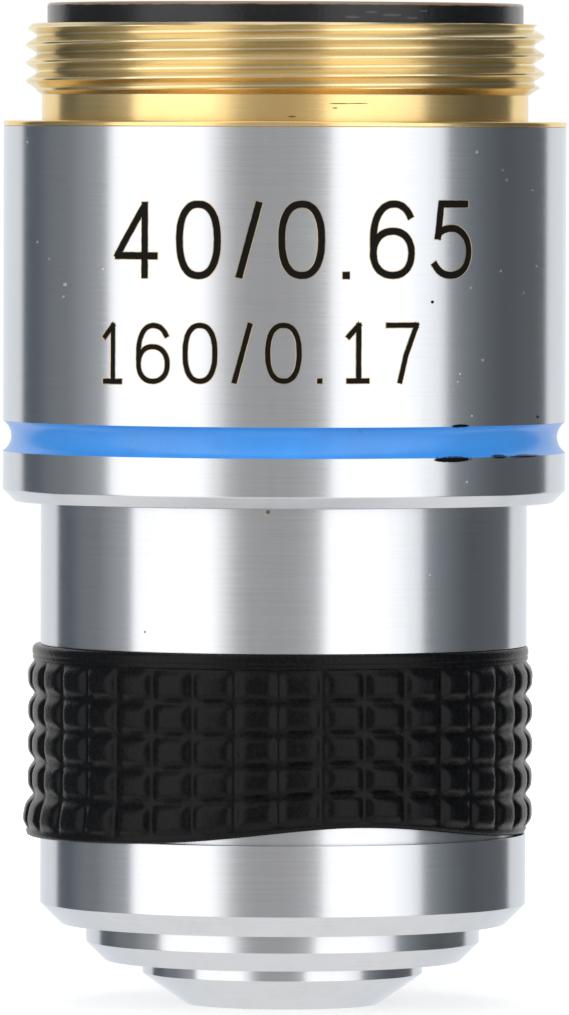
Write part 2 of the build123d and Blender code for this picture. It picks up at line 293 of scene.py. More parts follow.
class Finish:
    """A procedural material, with short calls for the nodes it is built from."""

    def __init__(self, name):
        self.material = bpy.data.materials.new(name)
        self.material.use_nodes = True
        self.tree = self.material.node_tree
        self.shader = self.tree.nodes["Principled BSDF"]
        self.x, self.y, self.z = self.millimetres()
        self.point = self.vector(self.x, self.y, self.z)
        square = self.math(
            "ADD", self.math("MULTIPLY", self.x, self.x), self.math("MULTIPLY", self.y, self.y)
        )
        self.radius = self.math("SQRT", square)
        self.angle = self.math("ARCTAN2", self.x, self.math("MULTIPLY", self.y, -1))

    def millimetres(self):
        """X, Y and Z of the shaded point in the piece's own axes."""
        split = self.tree.nodes.new("ShaderNodeSeparateXYZ")
        source = self.tree.nodes.new("ShaderNodeTexCoord")
        self.tree.links.new(source.outputs["Object"], split.inputs[0])
        return [self.math("MULTIPLY", split.outputs[i], 1 / MM) for i in range(3)]

    def put(self, node, name, value):
        """Links a socket, or sets a constant."""
        if isinstance(value, bpy.types.NodeSocket):
            self.tree.links.new(value, node.inputs[name])
        else:
            node.inputs[name].default_value = value

    def set(self, **values):
        """Sets sockets of the shader, named with low lines for spaces. Colours get full alpha."""
        for name, value in values.items():
            if isinstance(value, tuple) and len(value) == 3 and name != "Normal":
                value = (*value, 1)
            self.put(self.shader, name.replace("_", " "), value)

    def math(self, operation, a, b=0.0, clamp=False):
        """Reckons with two values."""
        node = self.tree.nodes.new("ShaderNodeMath")
        node.operation = operation
        node.use_clamp = clamp
        self.put(node, 0, a)
        self.put(node, 1, b)
        return node.outputs[0]

    def vector(self, x, y, z):
        """Joins three values."""
        node = self.tree.nodes.new("ShaderNodeCombineXYZ")
        for name, value in zip("XYZ", (x, y, z)):
            self.put(node, name, value)
        return node.outputs[0]

    def noise(self, vector, scale=1.0, detail=2.0, roughness=0.5):
        """Cloudy noise round 0.5."""
        node = self.tree.nodes.new("ShaderNodeTexNoise")
        self.put(node, "Vector", vector)
        for name, value in (("Scale", scale), ("Detail", detail), ("Roughness", roughness)):
            self.put(node, name, value)
        return node.outputs["Fac"]

    def cells(self, vector, scale):
        """Distance to the nearest cell centre and a random value of that cell."""
        node = self.tree.nodes.new("ShaderNodeTexVoronoi")
        self.put(node, "Vector", vector)
        self.put(node, "Scale", scale)
        split = self.tree.nodes.new("ShaderNodeSeparateColor")
        self.tree.links.new(node.outputs["Color"], split.inputs[0])
        return node.outputs["Distance"], split.outputs[0]

    def remap(self, value, low, high, to_low=0.0, to_high=1.0, smooth=False):
        """Maps one range to another, and holds the ends."""
        node = self.tree.nodes.new("ShaderNodeMapRange")
        if smooth:
            node.interpolation_type = "SMOOTHSTEP"
        limits = ("From Min", low), ("From Max", high), ("To Min", to_low), ("To Max", to_high)
        self.put(node, "Value", value)
        for name, limit in limits:
            self.put(node, name, limit)
        return node.outputs[0]

    def mix(self, share, a, b):
        """Mixes two colours."""
        node = self.tree.nodes.new("ShaderNodeMix")
        node.data_type = "RGBA"
        self.put(node, 0, share)
        self.put(node, 6, (*a, 1) if isinstance(a, tuple) else a)
        self.put(node, 7, (*b, 1) if isinstance(b, tuple) else b)
        return node.outputs[2]

    def bump(self, height, distance_mm):
        """A normal from a height between 0 and 1."""
        node = self.tree.nodes.new("ShaderNodeBump")
        self.put(node, "Height", height)
        self.put(node, "Distance", distance_mm * MM)
        self.put(node, "Strength", 1.0)
        return node.outputs[0]

    def blot(self, angle, height, half_angle, half_height, ragged=0.0):
        """1 inside an ellipse on a turned surface, 0 outside, with an uneven edge."""
        across = self.math("DIVIDE", self.math("SUBTRACT", self.angle, angle), half_angle)
        along = self.math("DIVIDE", self.math("SUBTRACT", self.z, height), half_height)
        reach = self.math(
            "ADD", self.math("MULTIPLY", across, across), self.math("MULTIPLY", along, along)
        )
        if ragged:
            grain = self.noise(self.point, 9, 3)
            reach = self.math("ADD", reach, self.remap(grain, 0.25, 0.75, -ragged / 2, ragged / 2))
        return self.remap(reach, *blot_edge)


# Turned metal: scale of its lines across and along the turning, what each pattern adds to the
# shade, and its flecks and marks. The anisotropy is turned by a quarter, along the lines
line_scale = 16
line_scale_along = 0.25
fine_share = 0.16
cloud_share = 0.08
streak_share = 0.16
least_shade = 0.79
rough_spread = 0.12
fleck_spacing = 1.5
fleck_size = 0.055
fleck_colour = (0.85, 0.86, 0.88)
fleck_roughness = 0.55
mark_roughness = 0.6
mark_raggedness = 0.4
quarter_turn = 0.25


def turned_metal(
    name,
    colour,
    tint,
    roughness,
    anisotropy,
    line_depth=0.0012,
    stain=(1, 1, 1),
    marks=(),
    fleck_share=0.0,
    painted_paler_above=None,
):
    """Turned metal: rings of tool marks round the axis, with faint stains, flecks and marks."""
    f = Finish(name)
    depth = f.math("ADD", f.z, f.radius)
    lines = f.vector(
        f.math("MULTIPLY", f.x, line_scale_along),
        f.math("MULTIPLY", f.y, line_scale_along),
        f.math("MULTIPLY", depth, line_scale),
    )
    fine = f.noise(lines, detail=4, roughness=0.65)
    cloud = f.noise(f.vector(f.x, f.y, f.math("MULTIPLY", f.z, 1.6)), 0.35, 3)
    streak = f.noise(f.vector(f.x, f.y, f.math("MULTIPLY", f.z, 0.07)), 0.9, 3, 0.6)
    shade = f.math("MULTIPLY", fine, fine_share)
    shade = f.math("ADD", shade, f.math("MULTIPLY", cloud, cloud_share))
    shade = f.math("ADD", shade, f.math("MULTIPLY", streak, streak_share))
    shade = f.math("ADD", shade, least_shade)
    base = f.mix(f.remap(cloud, 0.35, 0.75), colour, tuple(c * s for c, s in zip(colour, stain)))
    tone = f.mix(f.math("SUBTRACT", 1.0, shade, clamp=True), base, (0.0, 0.0, 0.0))
    smoothest, roughest = roughness * (1 - rough_spread), roughness * (1 + rough_spread)
    rough = f.remap(fine, 0.25, 0.75, smoothest, roughest)
    # Painted light: above a height the brass gets a paler copy of its colour, darker in bands at
    # random heights, so the lit thread looks lighter
    if painted_paler_above is not None:
        height, pale = painted_paler_above
        painted_bands = f.noise(f.vector(0.0, 0.0, f.z), 3.2, 2)
        pale_tone = f.mix(f.remap(painted_bands, 0.42, 0.60), pale, tuple(0.72 * c for c in pale))
        tone = f.mix(f.math("GREATER_THAN", f.z, height), tone, pale_tone)
    if fleck_share:
        distance, pick = f.cells(f.point, fleck_spacing)
        dot = f.math("LESS_THAN", distance, f.remap(pick, 1 - fleck_share, 1, 0, fleck_size))
        tone = f.mix(dot, tone, fleck_colour)
        rough = f.math("MAXIMUM", rough, f.math("MULTIPLY", dot, fleck_roughness))
    for *place, mark_colour in marks:
        dot = f.blot(*place, ragged=mark_raggedness)
        tone = f.mix(dot, tone, mark_colour)
        rough = f.math("MAXIMUM", rough, f.math("MULTIPLY", dot, mark_roughness))
    tangent = f.tree.nodes.new("ShaderNodeTangent")
    tangent.direction_type = "RADIAL"
    tangent.axis = "Z"
    f.set(
        Base_Color=tone,
        Metallic=1.0,
        Roughness=rough,
        Specular_Tint=tint,
        Anisotropic=anisotropy,
        Anisotropic_Rotation=quarter_turn,
        Tangent=tangent.outputs[0],
        Normal=f.bump(fine, line_depth),
    )
    return f.material


def plated_metal(name, marks=()):
    """The plating of barrel and nose, with the marks of one piece."""
    return turned_metal(
        name,
        colour=(0.66, 0.665, 0.68),
        tint=(0.86, 0.90, 0.94),
        roughness=0.22,
        anisotropy=0.75,
        stain=(0.97, 0.98, 1.0),
        marks=marks,
        fleck_share=0.06,
    )


# Small light flecks on the barrel, (x, y, size) in the photograph's pixels
barrel_flecks = [
    (64.7, 284.6, 2.0), (102.6, 269, 1.1), (37, 242, 1.2), (63, 296.6, 1.4), (49, 258.7, 1.0),
    (27, 142, 1.1), (477, 152, 1.3), (503, 170, 1.0), (507, 180, 1.1), (533, 190, 1.0),
    (501, 271, 1.2), (537, 266, 1.2), (471, 288, 1.0), (524, 293, 1.1), (483, 360, 1.3),
    (460, 374, 1.0), (458, 382, 0.9), (472, 416, 1.1), (467, 482, 1.1),
]
barrel_dark_specks = [(432.6, 302, 1.6), (538, 417, 1.6)]
# Chipped enamel, (x, y, half width, half height) in the photograph's pixels
chips = [(453, 459.5, 19, 3.0), (500, 456.5, 8, 2.0), (526, 456, 15, 1.6), (461, 426, 9, 1.8)]
# Specks on the sleeve, (x, y, size, colour)
sleeve_specks = [
    (268, 512, 2.2, (0.36, 0.22, 0.08)),
    (430, 575, 1.0, (0.75, 0.76, 0.78)),
    (145, 632, 1.0, (0.2, 0.2, 0.2)),
]
# Hairline scratches and specks on the neck, and painted highlight streaks on the black ring, in the
# same way
neck_scratches = [
    (340, 103.6, 11, 0.6), (358, 103.4, 11, 0.5), (335, 108, 3, 0.7), (292, 116.5, 4, 0.8),
]
ring_painted_highlights = [
    (352, 17, 7, 1.6), (372, 12, 6, 1.2), (392, 15, 10, 1.4), (412, 18, 7, 1.2), (424, 11, 4, 1.0),
]
speck_white = (0.95, 0.96, 0.98)
speck_dark = (0.03, 0.025, 0.02)
bared_black = (0.012, 0.012, 0.012)
scratch_brown = (0.30, 0.17, 0.06)
painted_highlight_grey = (0.055, 0.055, 0.058)
pixel_mm = 0.0391
steepest_cosine = 0.3


def mark(x, y, half_width, half_height, radius, colour):
    """A mark at a pixel as (angle, height, half angle, half height, colour)."""
    angle, z = seen_on(x, y, radius)
    half_angle = half_width * pixel_mm / radius / max(cos(angle), steepest_cosine)
    return angle, z, half_angle, half_height * pixel_mm, colour


barrel_marks = [mark(x, y, size, size, barrel_r, speck_white) for x, y, size in barrel_flecks]
barrel_marks += [mark(x, y, size, size, barrel_r, speck_dark) for x, y, size in barrel_dark_specks]
chip_marks = [mark(*chip, barrel_r, bared_black) for chip in chips]
sleeve_marks = [mark(x, y, size, size, sleeve_r, colour) for x, y, size, colour in sleeve_specks]
neck_marks = [mark(*scratch, neck_r, scratch_brown) for scratch in neck_scratches]
ring_highlight_marks = [mark(*streak, ring_r, painted_highlight_grey) for streak in ring_painted_highlights]

plated = plated_metal("plated_metal")
worn_barrel = plated_metal("plated_barrel_worn", barrel_marks + chip_marks)
worn_sleeve = plated_metal("plated_sleeve_worn", sleeve_marks)
brass = turned_metal(
    "bare_brass",
    colour=(0.94, 0.70, 0.33),
    tint=(0.95, 0.93, 0.85),
    roughness=0.24,
    anisotropy=0.7,
    line_depth=0.002,
    stain=(0.93, 0.87, 0.76),
    marks=neck_marks,
    # Painted light: the thread above 1 mm is a paler brass than the neck
    painted_paler_above=(1.0, (0.90, 0.75, 0.47)),
)
worn_edge = turned_metal(
    "worn_engraving_edge",
    colour=(0.50, 0.37, 0.19),
    tint=(0.9, 0.85, 0.75),
    roughness=0.35,
    anisotropy=0.3,
)
spring_steel = turned_metal(
    "spring_steel",
    colour=(0.50, 0.50, 0.52),
    tint=(0.9, 0.9, 0.9),
    roughness=0.3,
    anisotropy=0.4,
)


# Paint: how uneven its chips are, and how far a worn rim wanders and fades, in millimetres
chip_raggedness = 1.2
wear_wander = 0.10
wear_fade = 0.06


def painted(
    name,
    colour,
    roughness,
    specular,
    grain,
    grain_depth,
    coat=0.0,
    mottle=0.3,
    marks=(),
    rim=None,
):
    """Paint, enamel, blackening or rubber with a fine grain, marks and a worn rim."""
    f = Finish(name)
    speck = f.noise(f.point, grain, 4, 0.6)
    lighter = tuple(min(1.0, c * (1 + mottle) + 0.004 * mottle) for c in colour)
    tone = f.mix(f.remap(speck, 0.35, 0.7), colour, lighter)
    # Marks: chipped paint, and on the black ring painted highlight streaks
    for *place, mark_colour in marks:
        tone = f.mix(f.blot(*place, ragged=chip_raggedness), tone, mark_colour)
    if rim is not None:
        rim_height, rim_radius, worn_colour = rim
        wear = f.math("ADD", f.z, f.math("MULTIPLY", f.noise(f.point, 1.1, 4), wear_wander))
        worn = f.remap(wear, rim_height, rim_height + wear_fade)
        worn = f.math("MULTIPLY", worn, f.math("GREATER_THAN", f.radius, rim_radius))
        tone = f.mix(worn, tone, worn_colour)
    f.set(
        Base_Color=tone,
        Roughness=f.remap(speck, 0.3, 0.7, roughness * 0.85, roughness * 1.15),
        Specular_IOR_Level=specular,
        Coat_Weight=coat,
        Coat_Roughness=0.12,
        Normal=f.bump(speck, grain_depth),
    )
    return f.material


enamel = painted(
    "blue_enamel",
    (0.055, 0.335, 0.88),
    roughness=0.32,
    specular=0.5,
    grain=0.8,
    grain_depth=0.004,
    coat=0.25,
    mottle=0.12,
    marks=chip_marks,
)
black_paint = painted(
    "black_turned_ring",
    (0.0015, 0.0015, 0.0018),
    roughness=0.22,
    specular=0.46,
    grain=7.0,
    grain_depth=0.006,
    mottle=1.2,
    # Its marks are painted highlight streaks, where the ring mirrors the right softbox
    marks=ring_highlight_marks,
    rim=(ring_high - 0.09, ring_r - 0.14, (0.30, 0.20, 0.12)),
)
rubber = painted(
    "black_rubber",
    (0.0012, 0.0012, 0.0016),
    roughness=0.26,
    specular=0.14,
    grain=6.0,
    grain_depth=0.012,
    mottle=0.8,
)
engraving_fill = painted(
    "engraving_black",
    (0.003, 0.0027, 0.0024),
    roughness=0.6,
    specular=0.12,
    grain=14.0,
    grain_depth=0.004,
)
blackened = painted(
    "blackened_brass",
    (0.018, 0.017, 0.016),
    roughness=0.6,
    specular=0.35,
    grain=5.0,
    grain_depth=0.004,
    mottle=0.8,
)


def glass():
    """Coated optical glass, with a faint purple bloom that grows at grazing angles."""
    f = Finish("lens_glass")
    smear = f.noise(f.point, 0.7, 3)
    facing = f.tree.nodes.new("ShaderNodeLayerWeight")
    tinted = f.mix(facing.outputs["Facing"], (0.93, 0.97, 1.0), (0.80, 0.78, 1.0))
    f.set(
        Base_Color=tinted,
        Roughness=f.remap(smear, 0.3, 0.8, 0.01, 0.06),
        Transmission_Weight=1.0,
        IOR=1.62,
        Normal=f.bump(smear, 0.0006),
    )
    return f.material


lens_glass = glass()


# Mount: neck, seat and spigot are turned, and the thread is a true helix between two cones
rows_to_a_turn = 22
turns_of_lead_in = 1.25


def thread_surface(angle, z):
    """Radius of the threaded part at an angle and height."""
    turn = (z - crest_z_at_right) / thread_pitch - (angle - pi / 2) / (2 * pi)
    from_crest = abs(turn - round(turn)) * thread_pitch
    flank = thread_pitch / 2 - crest_width / 2 - root_width / 2
    drop = (from_crest - crest_width / 2) / flank * thread_depth
    start_cone = thread_r - thread_start + (mount_high - z)
    runout = neck_r + (z - neck_high + thread_runout) * (thread_r - neck_r) / (2 * thread_runout)
    return min(thread_r - min(max(drop, 0), thread_depth), start_cone, runout)


def thread_mesh(name):
    """The whole mount. Rows climb with the thread, and the seam joins each to one a turn on."""
    rows = rows_to_a_turn
    low, high = neck_high - thread_runout, mount_high
    total = int((high - low) / thread_pitch * rows) + 3 * rows
    angles = [2 * pi * s / thread_segments for s in range(thread_segments)]
    vertices, faces = [], []
    for k in range(total):
        for angle in angles:
            climb = (k / rows - turns_of_lead_in + angle / (2 * pi)) * thread_pitch
            z = min(max(low + climb, low), high)
            vertices.append(on_circle(thread_surface(angle, z), angle, z))
    for k in range(total - 1):
        for s in range(thread_segments):
            here = k * thread_segments + s
            if s < thread_segments - 1:
                faces.append([here, here + 1, here + 1 + thread_segments, here + thread_segments])
            elif k + rows + 1 < total:
                over = (k + rows) * thread_segments
                faces.append([here, over, over + thread_segments, here + thread_segments])
    corners = [
        (mount_bore_r, mount_high - ring_thread_depth, 0),
        (mount_bore_r, mount_low, 0.1),
        (spigot_r, mount_low, 0.1),
        (spigot_r, barrel_high, 0),
        (barrel_r, barrel_high, 0.02),
        (barrel_r, 0, seat_edge * 0.7),
        (relief_r, 0, 0.02),
        (relief_r, -relief_depth, 0),
        (neck_r, -relief_depth, 0.04),
        (neck_r, low, 0),
    ]
    base = len(vertices)
    profile = [tuple(p) for p in rounded(corners, closed=False)]
    counterbore = [(counterbore_r, mount_high), (counterbore_r, mount_high - ring_thread_depth)]
    for r, z in profile + counterbore:
        vertices += [on_circle(r, angle, z) for angle in angles]
    starts = [base + i * thread_segments for i in range(len(profile))]
    top = base + len(profile) * thread_segments
    bands = list(zip(starts, starts[1:]))
    bands.append((top, top + thread_segments))
    bands.append((top + thread_segments, base))
    bands.append(((total - 1) * thread_segments, top))
    for first, second in bands:
        for s in range(thread_segments):
            n = (s + 1) % thread_segments
            faces.append([first + s, first + n, second + n, second + s])
    return finish_mesh(name, vertices, faces, 25)


mount_mesh = thread_mesh("mount_body_brass")
new_object("mount_body_brass", mount_mesh, [brass], "mount_body", "brass", "thread_mount")

ring_corners = [
    (ring_bore_r, ring_low, 0),
    (counterbore_r - slip, ring_low, 0),
    (counterbore_r - slip, ring_low + ring_thread_depth, 0),
    (ring_r, ring_low + ring_thread_depth, 0.03),
    (ring_r, ring_high, 0.12),
    (ring_bore_r + ring_chamfer, ring_high, 0.05),
    (ring_bore_r, ring_high - ring_chamfer, 0.05),
]
ring_mesh = turned_mesh("rear_ring", rounded(ring_corners))
new_object("rear_ring", ring_mesh, [black_paint], "mount_body", "black_ring", "rear_stop_ring")

# Barrel with the colour groove. The enamel stops a little short of the groove's edges
groove_r = (groove_chord**2 / 4 + groove_depth**2) / (2 * groove_depth)
groove_centre = barrel_r - groove_depth + groove_r
groove_half_angle = atan2(groove_chord / 2, groove_centre - barrel_r)


def groove_arc(radius, half_angle, steps=14):
    """Points of the groove from its lower to its upper edge."""
    return [
        (groove_centre - radius * cos(a), groove_z + radius * sin(a))
        for a in (half_angle * (2 * i / steps - 1) for i in range(steps + 1))
    ]


enamel_depth = 0.08
enamel_reach = 0.985
enamel_bed_share = 0.9
edge_drop = 0.02
edge_rise = 0.012
lower_part = rounded(
    [
        (guide_bore_r, stop_z, 0),
        (guide_bore_r, barrel_low, 0.03),
        (skin_r - foot_bevel, barrel_low, 0.12),
        (skin_r, barrel_low + foot_bevel, 0.10),
        (skin_r, groove_z - groove_chord / 2, 0),
    ],
    closed=False,
)
upper_part = [
    (skin_r, groove_z + groove_chord / 2),
    (skin_r, barrel_high - barrel_chamfer),
    (skin_r - barrel_chamfer, barrel_high),
    (barrel_bore_r, barrel_high),
    (barrel_bore_r, stop_z),
]
bed = groove_arc(groove_r + enamel_depth, groove_half_angle)
edge_low = (skin_r - edge_drop, groove_z - groove_chord / 2 + edge_rise)
edge_high = (skin_r - edge_drop, groove_z + groove_chord / 2 - edge_rise)
barrel_profile = [*lower_part, edge_low, *bed[1:-1], edge_high, *upper_part]
barrel_mesh = turned_mesh("barrel", barrel_profile, segments=fine_segments)
new_object("barrel", barrel_mesh, [worn_barrel], "mount_body", "plated_barrel", "outer_barrel")

enamel_half_angle = groove_half_angle * enamel_reach
face_arc = groove_arc(groove_r, enamel_half_angle)
back_arc = groove_arc(groove_r + enamel_depth * enamel_bed_share, enamel_half_angle)[::-1]
band_mesh = turned_mesh("colour_ring", face_arc + back_arc, segments=fine_segments)
new_object("colour_ring", band_mesh, [enamel], "mount_body", "blue_enamel", "colour_band")

# Sliding sleeve
sleeve_corners = [
    (tube_seat_r, flange_low, 0.02),
    (sleeve_r - sleeve_bevel, flange_low, 0.04),
    (sleeve_r, flange_low + sleeve_bevel, 0.04),
    (sleeve_r, grip_low, 0.03),
    (recess_r, grip_low, 0),
    (recess_r, grip_high, 0),
    (sleeve_r, grip_high, 0.02),
    (sleeve_r, stop_z, 0),
    (flange_r, stop_z, 0.05),
    (flange_r, flange_high, 0.05),
    (sleeve_bore_r, flange_high, 0.05),
    (sleeve_bore_r, tube_head_low, 0),
    (tube_seat_r, tube_head_low, 0),
]
sleeve_mesh = turned_mesh("sleeve", rounded(sleeve_corners), segments=fine_segments)
new_object("sleeve", sleeve_mesh, [worn_sleeve], "nose_body", "plated_nose", "nose_sleeve")

tube_corners = [
    (front_thread_r + slip, tube_low, 0),
    (tube_r - tube_bevel, tube_low, 0.04),
    (tube_r, tube_low + tube_bevel, 0.04),
    (tube_r, tube_head_low, 0),
    (head_r, tube_head_low, 0),
    (head_r, tube_high, 0.05),
    (bore_cell_r + slip, tube_high, 0.05),
    (bore_cell_r + slip, stack_z, 0),
    (front_thread_r + slip, stack_z, 0),
]
tube_mesh = turned_mesh("optics_tube", rounded(tube_corners))
new_object("optics_tube", tube_mesh, [plated], "nose_body", "plated_nose", "lens_tube")

cell_corners = [
    (dish_r, cell_low, 0.02),
    (tip_r, cell_low, 0.05),
    (cell_r, cell_low + tip_cone, 0.04),
    (cell_r, tube_low, 0),
    (front_thread_r, tube_low, 0),
    (front_thread_r, cell_high, 0),
    (front_thread_r - cell_wall, cell_high, 0),
    (lens_r + slip, lens_low + lens_seat, 0),
    (lens_r + slip, lens_low, 0),
    (lens_flat_r - lip, lens_low, 0.02),
    (lens_flat_r - lip, lens_low - lip_depth, 0.02),
]
tip_mesh = turned_mesh("tip_cell", rounded(cell_corners))
new_object("tip_cell", tip_mesh, [plated], "nose_body", "plated_nose", "front_cell")

# Front lens: a flat outside and part of a ball inside
ball_steps = 20
ball_centre = lens_high - lens_r
ball_start = -atan2(ball_centre - lens_low, lens_flat_r)
ball_arc = [
    (lens_r * cos(a), ball_centre + lens_r * sin(a))
    for a in (ball_start + (pi / 2 - ball_start) * i / ball_steps for i in range(ball_steps))
]
ball_points = [(0, lens_low)] + ball_arc + [(0, lens_high)]
glass_mesh = turned_mesh("front_glass", ball_points, closed=False, segments=glass_segments)
new_object("front_glass", glass_mesh, [lens_glass], "nose_body", "lens_glass", "front_lens")

# Grip: a soft rubber moulding with rows of bumps between a band and a lip, a little off centre
grip_columns = 36
grip_rows = 5
grip_band = 0.6
grip_lip = 0.22
grip_bump = 0.27
grip_offset = -0.12
bump_steps = 16
grip_segments = grip_columns * bump_steps
grip_inner_r = recess_r + slip
grip_groove_shift = radians(-0.4)
grip_gap = 0.01
band_inset = 0.2
least_bump = 0.25
# The foot has crept up most at one angle, sags at another and is stretched outwards at a third
foot_lift_height = 0.66
foot_lift_at = 18
foot_lift_spread = 34
foot_sag = 0.12
foot_sag_at = radians(-75)
flare_width = 0.34
flare_at = radians(-82)
flare_start = 0.72


def pillow(share, fullness):
    """Height of a rounded bump at a share of its width. A fuller bump leaves a narrower groove."""
    return (0.5 + 0.5 * cos(pi * abs(2 * share - 1) ** fullness)) ** 0.8


def foot_lift(angle):
    """How far the rubber's foot has crept up, most just right of the front."""
    return foot_lift_height * exp(-(((degrees(angle) - foot_lift_at) / foot_lift_spread) ** 2))


def flare(angle, down):
    """Extra radius of the stretched rubber, at the lower left."""
    side = max(0.0, cos(angle - flare_at))
    return flare_width * side**2 * max(0.0, (down - flare_start) / (1 - flare_start)) ** 1.5


def grip_point(angle, down, height):
    """A point from its angle, its share of the way down and its height off the inner wall."""
    signed = (angle + pi) % (2 * pi) - pi
    sag = foot_sag * max(0.0, cos(signed - foot_sag_at)) * down**6
    lift = down**1.7 * foot_lift(signed) - sag
    z = grip_high - grip_gap - down * (grip_high - grip_low - 2 * grip_gap) + lift
    x, y, z = on_circle(grip_inner_r + height + flare(signed, down), angle, z)
    return x + grip_offset, y, z


def grip_profile(angle):
    """(share down, height off the inner wall) of the outer side at one angle, from top to foot."""
    length = grip_high - grip_low
    band = grip_r - band_inset - grip_inner_r
    base = grip_r - grip_bump - grip_inner_r
    column = ((angle - grip_groove_shift) / (2 * pi) * grip_columns) % 1
    bump_number = int(angle / (2 * pi) * grip_columns)
    across = least_bump + (1 - least_bump) * pillow(column, 2.8)
    rows_top = grip_band / length
    rows_foot = 1 - grip_lip / length
    points = [(0.0, 0.0), (0.0, band - 0.10), (0.010, band - 0.03), (0.022, band)]
    points += [(0.045, band), (0.052, band - 0.035), (0.060, band - 0.01)]
    points.append((rows_top - 0.008, band - 0.02))
    for i in range(grip_rows * bump_steps + 1):
        share = i / bump_steps
        row = int(min(share, grip_rows - 1e-6))
        wear = 0.93 + 0.07 * noise.noise(Vector((row * 3.1, bump_number * 1.7, 0)))
        bump = grip_bump * pillow(share - row, 1.75) * across * wear
        points.append((rows_top + share / grip_rows * (rows_foot - rows_top), base + bump))
    points += [(rows_foot + 0.006, base + 0.02), (0.985, base - 0.01), (0.996, base - 0.05)]
    points += [(1.0, base - 0.12), (1.0, 0.0)]
    return points


def grip_mesh(name):
    """The grip as one closed skin of profiles side by side."""
    vertices, faces = [], []
    for s in range(grip_segments):
        angle = 2 * pi * s / grip_segments
        vertices += [grip_point(angle, down, height) for down, height in grip_profile(angle)]
    count = len(vertices) // grip_segments
    for s in range(grip_segments):
        n = (s + 1) % grip_segments
        for i in range(count):
            j = (i + 1) % count
            faces.append([s * count + i, n * count + i, n * count + j, s * count + j])
    return finish_mesh(name, vertices, faces, 50)


rubber_mesh = grip_mesh("rubber_grip")
new_object("rubber_grip", rubber_mesh, [rubber], "nose_body", "grip_rubber", "grip_ring")

# Engraved numbers: a thin skin on the barrel stands for them, black strokes with a brass burr along
# their edges. Its rim is sunk a little into the barrel, and its edges wander as hand work does
stroke_step = 0.12
longest_mitre = 2.2
least_mitre_cosine = 0.35
weld = 1e-4
fill_slot, burr_slot = 0, 1
burr_width = 0.024
burr_height = 0.009
fill_height = 0.003
rim_depth = 0.004
edge_noise = 0.010
edge_waves = 6


def arc(cx, cy, rx, ry, start, end, power=2.0, steps=28):
    """Points of a rounded arc, angles in degrees from +X."""
    points = []
    for i in range(steps + 1):
        a = radians(start + (end - start) * i / steps)
        c, s = cos(a), sin(a)
        x = cx + copysign(rx * abs(c) ** (2 / power), c)
        y = cy + copysign(ry * abs(s) ** (2 / power), s)
        points.append((x, y))
    return points


# Each glyph: its width as a share of its height, and its strokes in a unit box
glyphs = {
    "4": (0.665, [[(0.68, 0.94), (0, 0.28), (1, 0.28)], [(0.73, 1), (0.73, 0)]]),
    "0": (0.60, [arc(0.5, 0.5, 0.5, 0.5, 0, 360, 2.35, 44)]),
    "6": (
        0.62,
        [
            arc(0.53, 0.52, 0.53, 0.48, 38, 180, 2.2) + [(0, 0.30)],
            arc(0.5, 0.31, 0.5, 0.31, 0, 360, 2.2, 36),
        ],
    ),
    "5": (
        0.63,
        [[(0.92, 1), (0.18, 1), (0.09, 0.54)] + arc(0.46, 0.33, 0.54, 0.33, 128, -148, 2.1)],
    ),
    "7": (0.60, [[(0, 1), (1, 1), (0.62, 0.45), (0.42, 0)]]),
    "1": (0.42, [[(0.06, 0.80), (0.56, 1), (0.56, 0)], [(0.06, 0), (1, 0)]]),
    "/": (0.335, [[(0, 0), (1, 1)]]),
    ".": (0.02, [[(0.5, 0.0), (0.5, 0.02)]]),
}


def resampled(points, step):
    """Points at most a step apart along the path."""
    dense = [points[0]]
    for a, b in zip(points, points[1:]):
        pieces = max(1, ceil(hypot(b[0] - a[0], b[1] - a[1]) / step))
        for i in range(1, pieces + 1):
            dense.append((a[0] + (b[0] - a[0]) * i / pieces, a[1] + (b[1] - a[1]) * i / pieces))
    return dense


def stroke_rails(points, offset, closed):
    """The path moved sideways, with mitred corners."""
    rail = []
    count = len(points)
    for i in range(count):
        before = points[i - 1] if i or closed else points[0]
        after = points[(i + 1) % count] if i < count - 1 or closed else points[-1]
        here = Vector(points[i])
        first = (here - Vector(before)).normalized() if Vector(before) != here else None
        second = (Vector(after) - here).normalized() if Vector(after) != here else None
        first = first or second
        second = second or first
        mean = (first + second).normalized()
        side = Vector((-mean.y, mean.x))
        cosine = side.dot(Vector((-first.y, first.x)))
        stretch = min(1 / max(least_mitre_cosine, cosine), longest_mitre)
        rail.append(here + side * offset * stretch)
    return rail


def split_at_corners(points, sharpest=35):
    """The path as separate pieces between its sharp corners."""
    pieces, piece = [], [points[0]]
    for before, here, after in zip(points, points[1:], points[2:]):
        piece.append(here)
        turn = (Vector(here) - Vector(before)).angle(Vector(after) - Vector(here))
        if degrees(turn) > sharpest:
            pieces.append(piece)
            piece = [here]
    return pieces + [piece + [points[-1]]]


def glyph_strokes(character, left, base, height, stroke):
    """Each stroke of a glyph as (points, closed), in millimetres along the surface and up."""
    width_share, strokes = glyphs[character]
    span = max(width_share * height - stroke, 0)
    inset = stroke / 2
    placed = []
    for path in strokes:
        line = [
            (left + inset + px * span, base + inset + py * (height - stroke)) for px, py in path
        ]
        if character == ".":
            line = [(left + inset, base), (left + inset, base + stroke)]
        closed = hypot(line[0][0] - line[-1][0], line[0][1] - line[-1][1]) < 1e-6
        for piece in [line] if closed else split_at_corners(line):
            dense = resampled(piece, stroke_step)
            placed.append((dense[:-1] if closed else dense, closed))
    return placed


def lengthened(points, amount):
    """An open path made longer at both ends."""
    first, second = Vector(points[0]), Vector(points[1])
    last, inner = Vector(points[-1]), Vector(points[-2])
    head = first + (first - second).normalized() * amount
    tail = last + (last - inner).normalized() * amount
    return [tuple(head)] + points[1:-1] + [tuple(tail)]


def stroke_quads(points, closed, half_width, beyond):
    """The stroke as quads of four points each."""
    path = points if closed else lengthened(points, beyond)
    left = stroke_rails(path, half_width, closed)
    right = stroke_rails(path, -half_width, closed)
    count = len(path)
    return [
        (left[i], right[i], right[(i + 1) % count], left[(i + 1) % count])
        for i in range(count if closed else count - 1)
    ]


